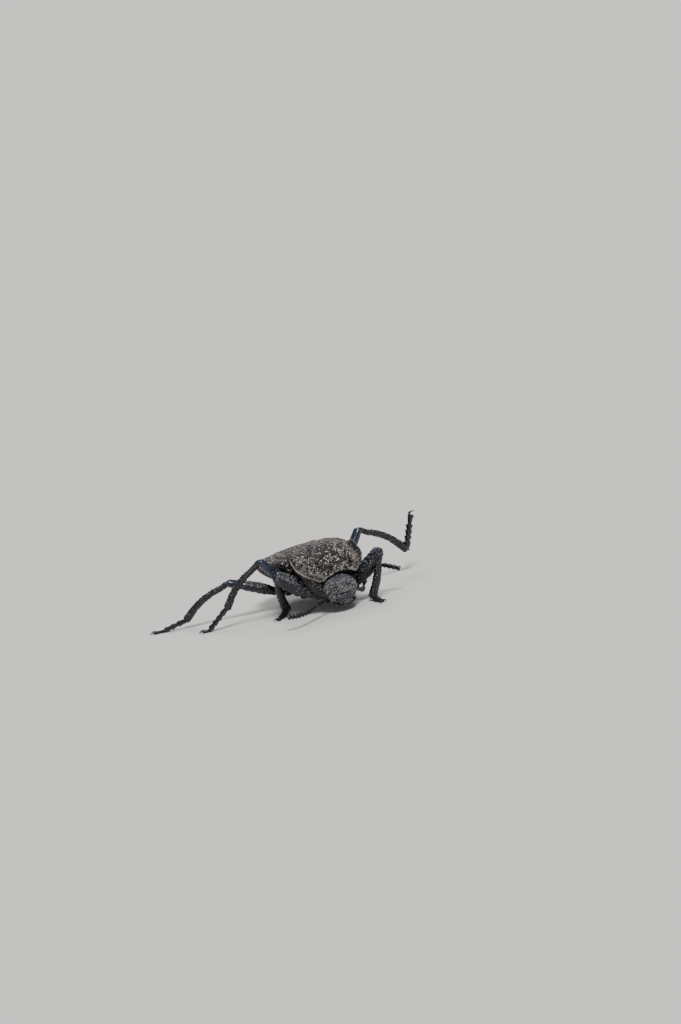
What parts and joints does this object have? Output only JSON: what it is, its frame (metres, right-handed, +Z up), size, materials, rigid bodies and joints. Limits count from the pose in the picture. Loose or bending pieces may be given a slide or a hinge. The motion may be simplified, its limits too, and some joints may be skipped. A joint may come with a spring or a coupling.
{
  "type": "darkling beetle",
  "caption": "Life-size museum model of a dusty black armoured darkling beetle, standing with one middle leg raised.",
  "frame": {"origin": "middle of the animal's box at floor level", "axes": "+X towards the head, +Y to the animal's left, +Z up"},
  "size_m": [0.0428, 0.0474, 0.0109],
  "materials": {
    "dusted_shell": "black rough shell under a coat of tan-grey dust",
    "black_shell": "black grainy shell with a dull shine, smooth at the joints",
    "rusty_mouthparts": "dark red-brown, satin",
    "eye": "black, faceted, glossy"
  },
  "bodies": {
    "root": {"abdomen": "black_shell", "antenna_left": "black_shell", "antenna_right": "black_shell", "coxa_fore_left": "black_shell", "coxa_fore_right": "black_shell", "coxa_hind_left": "black_shell", "coxa_hind_right": "black_shell", "coxa_middle_left": "black_shell", "coxa_middle_right": "black_shell", "eye_left": "eye", "eye_right": "eye", "femur_fore_left": "black_shell", "femur_fore_right": "black_shell", "femur_hind_left": "black_shell", "femur_hind_right": "black_shell", "femur_middle_left": "black_shell", "femur_middle_right": "black_shell", "head": "dusted_shell", "labrum": "rusty_mouthparts", "mandible_left": "black_shell", "mandible_right": "black_shell", "metathorax": "black_shell", "palp_left": "rusty_mouthparts", "palp_right": "rusty_mouthparts", "pronotum": "dusted_shell", "prothorax": "black_shell", "tarsus_fore_left": "black_shell", "tarsus_fore_right": "black_shell", "tarsus_hind_left": "black_shell", "tarsus_hind_right": "black_shell", "tarsus_middle_left": "black_shell", "tarsus_middle_right": "black_shell", "tibia_fore_left": "black_shell", "tibia_fore_right": "black_shell", "tibia_hind_left": "black_shell", "tibia_hind_right": "black_shell", "tibia_middle_left": "black_shell", "tibia_middle_right": "black_shell", "wing_case_left": "dusted_shell", "wing_case_right": "dusted_shell"}
  },
  "joints": []
}
